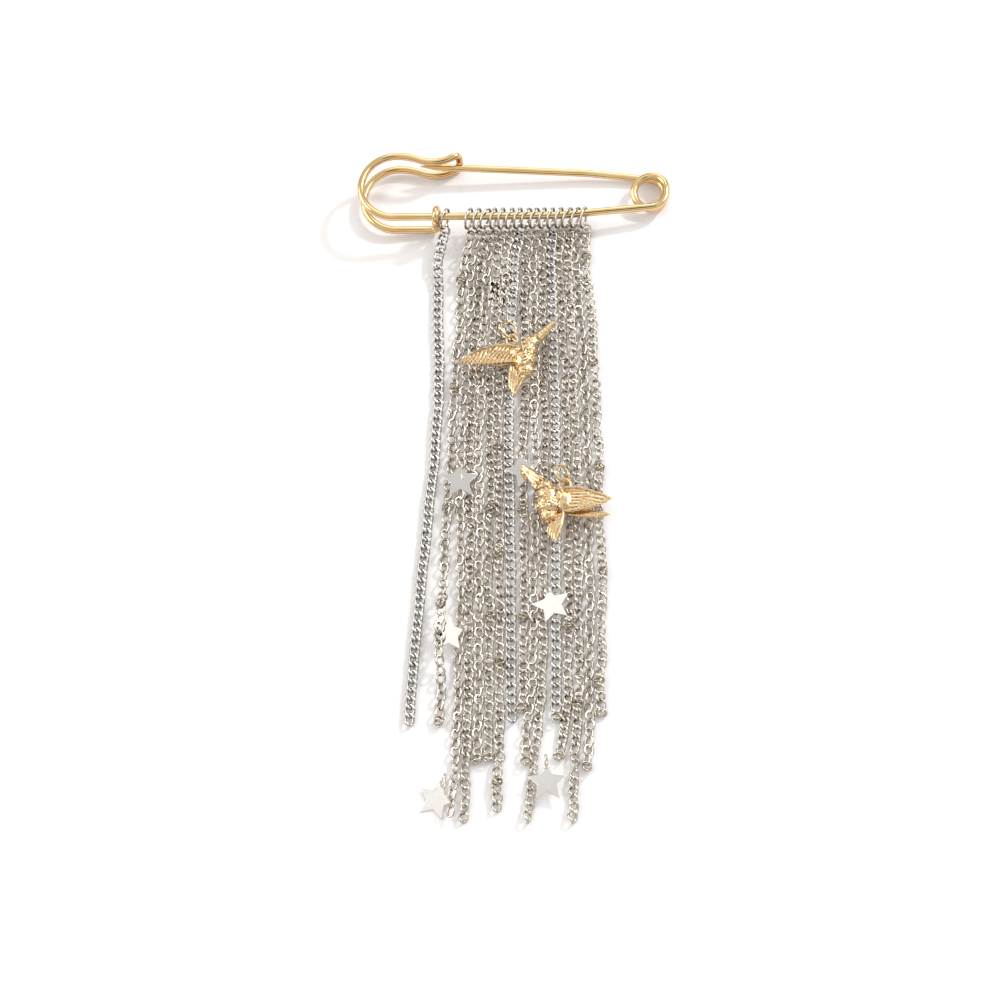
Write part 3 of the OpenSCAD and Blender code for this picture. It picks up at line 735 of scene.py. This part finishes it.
def make_chains():
    """All the chains; returns where the last link of each one ends."""
    chance = random.Random(11)
    shapes = {link: link_mesh(link) for link in (CABLE, FINE_CURB, LIGHT_CURB, HEAVY_CURB)}
    first_ring = ring_mesh(FIRST_RING_R, FIRST_RING_WIRE, 16, LINK_SIDES)
    tips = []
    for i in range(RINGS):
        link = kind_of(i)
        places = cable_places(i, chance) if link is CABLE else curb_places(i, link, chance)
        bm = bmesh.new()
        scatter(bm, shapes[link], places)
        fine = link in (CABLE, FINE_CURB)
        if fine:
            roll = radians(chance.uniform(-FIRST_RING_ROLL, FIRST_RING_ROLL))
            scatter(bm, first_ring, [frame_of(chain_start(i), FIRST_RING_WAY, roll)])
        tips.append(places[-1] @ Vector((0, -link.tip, 0)))
        metal = RHODIUM_CHAIN if fine else NICKEL_CURB
        piece = finished("links_of_chain_%d" % i, bm, metal, ["chain_%d" % i])
        # Painted shade on the links' lower sides
        paint_shade_on_low_sides(piece)
    return tips


# Groups of small rings: wire rings hooked into each other, each at its own angle in degrees from lying flat
STATION_TIPS = (12, 48, -55)
STATION_RING_R = 1.02
STATION_RING_WIRE = 0.4
END_TIPS = (8, 50, -42)
END_RING_R = 1.0
END_RING_WIRE = 0.44
# How far a group's rings are apart, sideways and up, and how far chance leans and turns them
KNOT_SPREAD = 0.3
KNOT_RISE = 0.22
KNOT_LEAN = 20
KNOT_TURN = 0.5
STATION_LIFT = 0.25
STATION_LOWEST = 1.25
END_HEIGHT = 1.05
END_OVERHANG = 0.45


def knot(centre, along, tips, chance):
    """Places of a few small rings hooked into each other: tips are their angles from lying flat."""
    places = []
    for k, tip in enumerate(tips):
        away = Matrix.Rotation(chance.uniform(0, 2 * pi), 4, "Z") @ Vector((KNOT_SPREAD, 0, KNOT_RISE * k))
        lean = Matrix.Rotation(radians(chance.uniform(-KNOT_LEAN, KNOT_LEAN)), 4, "Y")
        turn = Matrix.Rotation(chance.uniform(-KNOT_TURN, KNOT_TURN), 4, "Z")
        tipped = turn @ Matrix.Rotation(radians(tip), 4, "X") @ lean
        places.append(frame_of(centre + away, along) @ tipped)
    return places


def make_stations():
    """Small loose rings hooked into the chain at each station."""
    chance = random.Random(3)
    places = []
    for i, y in STATIONS:
        here = route(i, y, 1.0)
        here.x += wander(i, y, DRIFT)
        here.z = max(here.z + STATION_LIFT, STATION_LOWEST)
        places += knot(here, route(i, y + 0.5, 1) - route(i, y - 0.5, 1), STATION_TIPS, chance)
    bm = bmesh.new()
    scatter(bm, ring_mesh(STATION_RING_R, STATION_RING_WIRE, 18, 7), places)
    # Painted shade on the rings' lower sides
    paint_shade_on_low_sides(finished("station_rings", bm, STATION_BRASS, ["station_beads"]))


def make_end_rings(tips):
    """The short chains end in a few small rings, hooked into the last link."""
    chance = random.Random(8)
    places = []
    for i in END_RING_CHAINS:
        centre = Vector((tips[i].x, tips[i].y - END_OVERHANG, END_HEIGHT))
        places += knot(centre, Y, END_TIPS, chance)
    bm = bmesh.new()
    scatter(bm, ring_mesh(END_RING_R, END_RING_WIRE, 18, 7), places)
    # Painted shade on the rings' lower sides
    paint_shade_on_low_sides(finished("end_ring_groups", bm, RHODIUM_CHAIN, ["end_rings"]))


# Stars: each leans back a little on what lies under it
STAR_R = 4.6
STAR_INNER_R = 2.2
STAR_LEAN = radians(5)
STAR_SIDE_LEAN = {1: radians(10), 2: radians(10), 4: radians(7), 6: radians(5)}
STAR_HOLE = 0.9
EYE_WALL = 0.33
EYE_WIRE = EYE_WALL + 0.04
EYE_Y = STAR_R - 1.1
EDGE_ROUND = 0.07
# Faces smaller than this, in square metres, belong to the rounded edges and the eye
SMALL_FACE = 2e-7
CHAINS_TOP = CHAIN_D + 0.4
# X, Y, height and turn in degrees
STAR_PLACE = [
    (-10.2, -0.1, CHAINS_TOP, 4), (4.7, 1.9, CHAINS_TOP, 20), (12, -31.5, CHAINS_TOP, 17),
    (-11.4, -38, CHAINS_TOP, -72), (-13, -76.8, 0, -20), (12, -73.7, CHAINS_TOP, 2), (-2.6, 49, 0, -30)]
STAR_LIFT = STAR_R * cos(pi / 5) * sin(STAR_LEAN) + STAR_SHEET_T / 2 + CLEARANCE / 2


def thicken(bm, outline, low, thick):
    """A flat plate: an outline at one height, extruded upwards."""
    face = bm.faces.new([bm.verts.new((x, y, low)) for x, y in outline])
    out = bmesh.ops.extrude_face_region(bm, geom=[face])
    top = [v for v in out["geom"] if isinstance(v, bmesh.types.BMVert)]
    bmesh.ops.translate(bm, verts=top, vec=(0, 0, thick))


def star_mesh():
    """A flat star cut from sheet, its edges rounded by tumbling; its upper tip is cut short for the eye."""
    radii = [EYE_Y if k == 0 else STAR_INNER_R if k % 2 else STAR_R for k in range(10)]
    bm = bmesh.new()
    thicken(bm, [(r * sin(k * pi / 5), r * cos(k * pi / 5)) for k, r in enumerate(radii)],
            -STAR_SHEET_T / 2, STAR_SHEET_T)
    bmesh.ops.recalc_face_normals(bm, faces=bm.faces)
    rims = [e for e in bm.edges if abs(e.verts[0].co.z - e.verts[1].co.z) < STAR_SHEET_T / 2]
    bmesh.ops.bevel(bm, geom=rims, offset=EDGE_ROUND, segments=2, profile=0.5, affect="EDGES", material=-1)
    return bm


def make_stars():
    for n, (x, y, height, turn) in enumerate(STAR_PLACE, 1):
        bm = star_mesh()
        eye = ring_mesh((STAR_HOLE + EYE_WALL) / 2, EYE_WIRE, 24, 8)
        scatter(bm, eye, [Matrix.Translation((0, EYE_Y, 0))])
        side_lean = Matrix.Rotation(STAR_SIDE_LEAN.get(n, 0), 4, "Y")
        place = Matrix.Translation((x, y, height + STAR_LIFT)) @ side_lean
        place = place @ Matrix.Rotation(radians(turn), 4, "Z") @ Matrix.Rotation(STAR_LEAN, 4, "X")
        bmesh.ops.transform(bm, matrix=place, verts=bm.verts)
        piece = finished("flat_star_%d" % n, bm, STAR_SHEET, ["star_%d" % n])
        for polygon in piece.data.polygons:
            polygon.use_smooth = polygon.area < SMALL_FACE


# Birds: built of lumps, rods, a web and fans of feathers, then fused into one casting
BIRD_Z = CHAINS_TOP + CLEARANCE + 2.5
GRAIN = 0.12
ROD_STEP = 0.22
LOOP_R = 1.28
LOOP_WIRE = 0.66
JUMP_R = 2.2
JUMP_WIRE = 0.54
JUMP_OUT = 2.84
JUMP_TURN = radians(105)
# How strongly the jump rings' lower sides get painted shade
JUMP_SHADE_WEIGHT = 0.5
PEBBLE = 1.0
PEBBLE_RELIEF = 0.21
SKIN_SIZE = 0.5
SKIN_RELIEF = 0.05
# How strongly the depth of a hollow in a casting turns into painted shade
GROOVE_SHADE = 10


def lump(bm, centre, radii, direction, roll=0.0):
    """An ellipsoid with its first radius along a direction."""
    way = Vector(direction).normalized()
    side = Z.cross(way).normalized()
    turned = Matrix((way, side, way.cross(side))).transposed().to_4x4() @ Matrix.Rotation(roll, 4, "X")
    place = Matrix.Translation(centre) @ turned @ Matrix.Diagonal((*radii, 1))
    bmesh.ops.create_uvsphere(bm, u_segments=16, v_segments=10, radius=1, matrix=place)


def point_along(points, share):
    """The point at a share of a polyline's length."""
    spans = [(Vector(b) - Vector(a)).length for a, b in zip(points, points[1:])]
    rest = min(max(share, 0), 1) * sum(spans)
    for span, a, b in zip(spans, points, points[1:]):
        if rest <= span:
            return Vector(a).lerp(Vector(b), rest / span)
        rest -= span
    return Vector(points[-1])


def rod(bm, points, first, last, z):
    """A tapering rod through points, from the first radius to the last."""
    total = sum((Vector(b) - Vector(a)).length for a, b in zip(points, points[1:]))
    steps = int(total / ROD_STEP)
    for k in range(steps + 1):
        bead = Matrix.Translation((*point_along(points, k / steps), z))
        radius = first + (last - first) * k / steps
        bmesh.ops.create_icosphere(bm, subdivisions=1, radius=radius, matrix=bead)


def web(bm, outline, z, thick):
    thicken(bm, outline, z - thick / 2, thick)


def fan(bm, roots, tips, count, width, thick, z, drop=0.0, roll=0.0):
    """Feathers side by side, long flat lumps from a line of roots to tips that lie lower by drop."""
    for k in range(count):
        root = Vector((*point_along(roots, k / (count - 1)), z))
        tip = Vector((*point_along(tips, k / (count - 1)), z - drop))
        radii = ((tip - root).length / 2, width / 2, thick / 2)
        lump(bm, (root + tip) / 2, radii, tip - root, radians(roll))


# A bird's parts, each with the function that adds it and what that takes, the place of its loop, the two
# ends and the girth of the body that has pebbled plumage, and how far its jump ring is tipped in degrees
Bird = namedtuple("Bird", "parts loop body girth tip")
WING_1 = [(3.4, 31.9), (2.3, 32.5), (0.3, 33), (-2.3, 33), (-5.6, 32.3), (-8.5, 30.8), (-10.9, 28.7)]
WING_2 = [(12.4, -5.3), (13.6, -4.6), (14.9, -3.9), (17.6, -3.9), (20.8, -4.9), (24.2, -6.3), (25.5, -7.1)]
WEB_1 = [(x, y - 0.1) for x, y in WING_1] + [
    (-11, 28.95), (-10, 28.55), (-7.7, 28.35), (-3.8, 28.25), (-0.6, 28.45), (3, 28.4)]
WEB_2 = WING_2 + [(24.6, -7.6), (23.6, -8.0), (20.9, -8.7), (16.8, -9.4), (14.6, -9.4), (13, -9.0)]
BIRDS = [
    Bird([(lump, (5.6, 33.3, 0.1), (2.3, 1.75, 1.6), (1, 1.1, 0)),
          (lump, (5.0, 31.6, 0), (2.4, 2.1, 1.9), (0.35, 1, 0)),
          (lump, (4.5, 29.2, 0), (3.3, 2.65, 2.3), (0.05, 1, 0)),
          (lump, (4.6, 26.9, -0.1), (2.5, 2.1, 1.8), (0, 1, 0)),
          (lump, (2.8, 30.9, 0.3), (2.3, 1.6, 1.3), (1, -0.3, 0)),
          (rod, [(6.2, 34.0), (11.0, 38.5)], 1.4, 0.5, 0.15),
          (rod, [(6.9, 33.7), (11.2, 38.2)], 1.1, 0.4, -0.1),
          (rod, [(5.6, 34.6), (10.6, 38.6)], 0.8, 0.34, -0.1),
          (web, WEB_1, 0.5, 0.5),
          (rod, WING_1, 0.42, 0.22, 0.72),
          (fan, [(2.2, 31.8), (-2.4, 32.6), (-5.6, 31.9), (-9, 30.2)],
           [(0.9, 28.2), (-3.8, 27.8), (-7.7, 27.9), (-11.1, 28.5)], 13, 0.86, 0.62, 0.66, 0.1, 16),
          (fan, [(3.2, 31.6), (-2.2, 32.4)], [(1.4, 29.4), (-4, 30)], 7, 0.8, 0.7, 0.86, 0.1, 16),
          (fan, [(3, 30.8), (3, 29.4)], [(-9.2, 29.8), (-4, 28.8)], 3, 1.6, 0.8, -1.0),
          (fan, [(1.1, 28.2), (4.8, 26.4)], [(1.1, 21.6), (2.0, 20.1), (3.4, 22.4)],
           6, 1.05, 0.9, 0.1, 0.2, 16),
          (rod, [(5.8, 26.2), (4.0, 23.8), (2.3, 20.2)], 0.45, 0.3, 0.35)],
         (1.2, 34.5), [(5.0, 27.4), (5.4, 33)], 2.9, 43),
    Bird([(lump, (10.2, -3.5, 0.1), (2.2, 1.9, 1.7), (-1, 0.9, 0)),
          (lump, (10.7, -5.4, 0), (2.5, 2.6, 2.1), (-0.2, 1, 0)),
          (lump, (11.0, -7.6, 0), (3.4, 3.0, 2.4), (0, 1, 0)),
          (lump, (11.0, -10.3, -0.1), (2.4, 2.1, 1.8), (0.05, -1, 0)),
          (lump, (13.2, -6.4, 0.3), (2.2, 1.9, 1.5), (0.2, 1, 0)),
          (rod, [(9.6, -2.1), (4.7, 2.1)], 1.15, 0.4, 0.2),
          (rod, [(8.3, -3.2), (4.5, 1.7)], 1.0, 0.32, -0.05),
          (rod, [(9.0, -2.5), (6.6, -0.3)], 0.9, 0.4, 0.35),
          (web, WEB_2, 0.5, 0.5),
          (rod, WING_2, 0.42, 0.24, 0.7),
          (fan, [(13.4, -4.9), (13.6, -9.3)], [(25.6, -7.2), (24.4, -8.5), (20.9, -9.4), (17.2, -9.9)],
           9, 1.05, 0.66, 0.64, 0.05, -14),
          (fan, [(13.2, -5.4), (13.4, -8.8)], [(20.6, -5.6), (18.8, -8.6)], 5, 1.0, 0.7, 0.85, 0.15, -14),
          (lump, (14.4, -7.2, 0.85), (2.3, 1.9, 0.75), (0.3, 1, 0)),
          (fan, [(14, -8.6), (14, -9.6)], [(25.4, -10.3), (23.6, -10.9)], 3, 1.2, 0.8, -1.0, 0.1, -10),
          (fan, [(14.4, -9), (12.2, -10.6)], [(13.6, -15.8), (12.4, -17.3), (10.8, -15)],
           6, 1.05, 0.9, 0.2, 0.2, -16),
          (rod, [(14.6, -9), (14.2, -13), (12.6, -17.2)], 0.42, 0.28, 0.4)],
         (14.6, -2.8), [(11.0, -9.6), (10.3, -4.2)], 3.2, 52)]


def fused(bm):
    """The lumps of a casting run together into one skin."""
    rough = bpy.data.objects.new("rough_casting", mesh_of(bm, "rough_casting"))
    bpy.context.scene.collection.objects.link(rough)
    fuse = rough.modifiers.new("fuse", "REMESH")
    fuse.mode = "VOXEL"
    fuse.voxel_size = GRAIN
    bpy.context.view_layer.update()
    skin = bmesh.new()
    skin.from_mesh(rough.evaluated_get(bpy.context.evaluated_depsgraph_get()).to_mesh())
    bpy.data.objects.remove(rough)
    bmesh.ops.smooth_vert(skin, verts=skin.verts, factor=0.5, use_axis_x=True, use_axis_y=True,
                          use_axis_z=True)
    skin.normal_update()
    return skin


def pebble_plumage(bm, bird):
    """Raises pebbles on the body and a fine unevenness all over."""
    tail, neck = (Vector((*end, 0)) for end in bird.body)
    spine = neck - tail
    moves = []
    for vert in bm.verts:
        share = min(max((vert.co - tail).dot(spine) / spine.length_squared, -0.05), 1.1)
        off = (vert.co - (tail + spine * share)).length / bird.girth
        cells = noise.voronoi(vert.co / PEBBLE, distance_metric="DISTANCE")[0]
        pebble = eased(1.5 * (cells[1] - cells[0])) - 0.6
        skin = noise.noise(vert.co / SKIN_SIZE)
        moves.append(vert.normal * (PEBBLE_RELIEF * eased(3.3 - 3.0 * off) * pebble + SKIN_RELIEF * skin))
    for vert, move in zip(bm.verts, moves):
        vert.co += move
    bm.normal_update()


def hollows(bm):
    """How deep each vertex lies under its neighbours, smoothed twice over them."""
    depth = [sum(((e.other_vert(v).co - v.co) for e in v.link_edges), Vector()).dot(v.normal)
             / (len(v.link_edges) * GRAIN) for v in bm.verts]
    bm.verts.index_update()
    for _ in range(2):
        depth = [(depth[v.index] + sum(depth[e.other_vert(v).index] for e in v.link_edges))
                 / (1 + len(v.link_edges)) for v in bm.verts]
    return depth


def make_bird(number, bird):
    bm = bmesh.new()
    for part, *sizes in bird.parts:
        part(bm, *sizes)
    scatter(bm, ring_mesh(LOOP_R, LOOP_WIRE, 28, 10), [Matrix.Translation((*bird.loop, 0))])
    bm = fused(bm)
    pebble_plumage(bm, bird)
    depth = hollows(bm)
    bmesh.ops.translate(bm, verts=bm.verts, vec=(0, 0, BIRD_Z))
    piece = finished("cast_bird_%d" % number, bm, GILT_CAST, ["bird_%d" % number])
    # Painted shade in the grooves and hollows of the casting, as deep as they lie
    painted_shade = piece.data.attributes.new("painted_shade", "FLOAT", "POINT")
    painted_shade.data.foreach_set("value", [min(max(GROOVE_SHADE * d, 0), 1) for d in depth])


def make_bird_ring(number, bird):
    """The round jump ring in a bird's loop, tipped so that the two pass through each other."""
    place = Matrix.Translation((*bird.loop, BIRD_Z)) @ Matrix.Rotation(JUMP_TURN, 4, "Z")
    place = place @ Matrix.Translation((JUMP_OUT, 0, 0)) @ Matrix.Rotation(radians(bird.tip), 4, "X")
    bm = bmesh.new()
    scatter(bm, ring_mesh(JUMP_R, JUMP_WIRE, 40, 10, radians(4)), [place])
    piece = finished("jump_ring_%d" % number, bm, GILT_WIRE, ["bird_ring_%d" % number])
    # Painted shade on the ring's lower sides
    paint_shade_on_low_sides(piece, JUMP_SHADE_WEIGHT)


def dress_star_rings():
    """The stars' jump rings keep their modelled form and get the chain's plate."""
    for name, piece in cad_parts.items():
        if name.startswith("star_ring"):
            piece.data.materials.clear()
            piece.data.materials.append(RHODIUM_CHAIN)


make_pin()
make_bar_rings()
chain_tips = make_chains()
make_stations()
make_end_rings(chain_tips)
make_stars()
for number, bird in enumerate(BIRDS, 1):
    make_bird(number, bird)
for number, bird in enumerate(BIRDS, 1):
    make_bird_ring(number, bird)
dress_star_rings()


# Surface and light
PAPER_HALF = 3.0
FIBRE = 0.4
FIBRE_SPREAD = (0.3, 0.7)
# Brightness of the tent at heights from its foot to its top
DOME = [(0.0, 0.06), (0.12, 0.16), (0.3, 0.55), (0.5, 0.68), (0.85, 0.66)]
# Soft panels in the tent: direction, angles in degrees where each is full and where it is gone, and strength
PANELS = [
    ((-0.8, 0.1, 0.58), 11, 26, 2.3),
    ((0.72, 0.3, 0.62), 11, 26, 2.0),
    ((-0.12, 0.24, 0.96), 6, 12, 0.5),
    ((0.05, 0.82, 0.57), 8, 18, 1.5)]
# The dark opening in the tent
OPENING = (VIEW, 9, 15, 0.92)
LAMP_WAY = Vector((0.62, 0.53, 0.59))
LAMP_DISTANCE = 0.7
LAMP_SIZE = 0.05
LAMP_POWER = 2.0


def make_surface():
    """Matt white paper that lets a little warm light through."""
    bm = bmesh.new()
    bmesh.ops.create_grid(bm, x_segments=1, y_segments=1, size=PAPER_HALF)
    mesh = mesh_of(bm, "paper")
    floor = bpy.data.objects.new("paper", mesh)
    bpy.context.scene.collection.objects.link(floor)
    material = bpy.data.materials.new("matt_white_paper")
    material.use_nodes = True
    tree = material.node_tree
    shader = tree.nodes["Principled BSDF"]
    place = add(tree, "ShaderNodeTexCoord").outputs["Object"]
    fibres = add(tree, "ShaderNodeTexNoise", {"Scale": 1 / (FIBRE * MM), "Detail": 2.0}, {"Vector": place})
    colour = clouded(tree, fibres.outputs["Fac"], FIBRE_SPREAD, ("#ECECED", "#F0F0F1"))
    tree.links.new(colour, shader.inputs["Base Color"])
    shader.inputs["Roughness"].default_value = 0.9
    shader.inputs["Specular IOR Level"].default_value = 0.1
    shader.inputs["Emission Color"].default_value = linear("#FFF0E0")
    shader.inputs["Emission Strength"].default_value = 0.16
    mesh.materials.append(material)


def patch(tree, way, centre, inner, outer, strength):
    """A soft round patch in the tent, full inside one angle and gone at another."""
    facing = add(tree, "ShaderNodeVectorMath", {"operation": "DOT_PRODUCT", 1: Vector(centre).normalized()},
                 {0: way})
    soft = add(tree, "ShaderNodeMapRange",
               {"interpolation_type": "SMOOTHSTEP", "From Min": cos(radians(outer)),
                "From Max": cos(radians(inner)), "To Max": strength},
               {"Value": facing.outputs["Value"]})
    return soft.outputs["Result"]


def make_tent():
    """A white tent round the brooch, dark at its foot and at its opening, with soft bright panels."""
    world = bpy.data.worlds.new("tent")
    bpy.context.scene.world = world
    world.use_nodes = True
    tree = world.node_tree
    way = add(tree, "ShaderNodeTexCoord").outputs["Generated"]
    height = add(tree, "ShaderNodeSeparateXYZ", links={"Vector": way}).outputs["Z"]
    dome = add(tree, "ShaderNodeValToRGB", links={"Fac": height})
    while len(dome.color_ramp.elements) < len(DOME):
        dome.color_ramp.elements.new(0.5)
    for element, (place, grey) in zip(dome.color_ramp.elements, DOME):
        element.position = place
        element.color = (grey, grey, grey, 1)
    light = dome.outputs["Color"]
    for panel in PANELS:
        joined = add(tree, "ShaderNodeMath", {"operation": "ADD"}, {0: light, 1: patch(tree, way, *panel)})
        light = joined.outputs["Value"]
    left = add(tree, "ShaderNodeMath", {"operation": "SUBTRACT", 0: 1.0}, {1: patch(tree, way, *OPENING)})
    cut = add(tree, "ShaderNodeMath", {"operation": "MULTIPLY"}, {0: light, 1: left.outputs["Value"]})
    tree.links.new(cut.outputs["Value"], tree.nodes["Background"].inputs["Color"])


def make_lamp():
    """A small lamp at the upper right, for the shadows."""
    data = bpy.data.lights.new("lamp", "AREA")
    data.size = LAMP_SIZE
    data.energy = LAMP_POWER
    lamp = bpy.data.objects.new("lamp", data)
    source = LAMP_WAY.normalized() * LAMP_DISTANCE
    lamp.matrix_world = Matrix.Translation(source) @ source.to_track_quat("Z", "Y").to_matrix().to_4x4()
    bpy.context.scene.collection.objects.link(lamp)


make_surface()
make_tent()
make_lamp()
bpy.context.scene.view_settings.view_transform = "Standard"
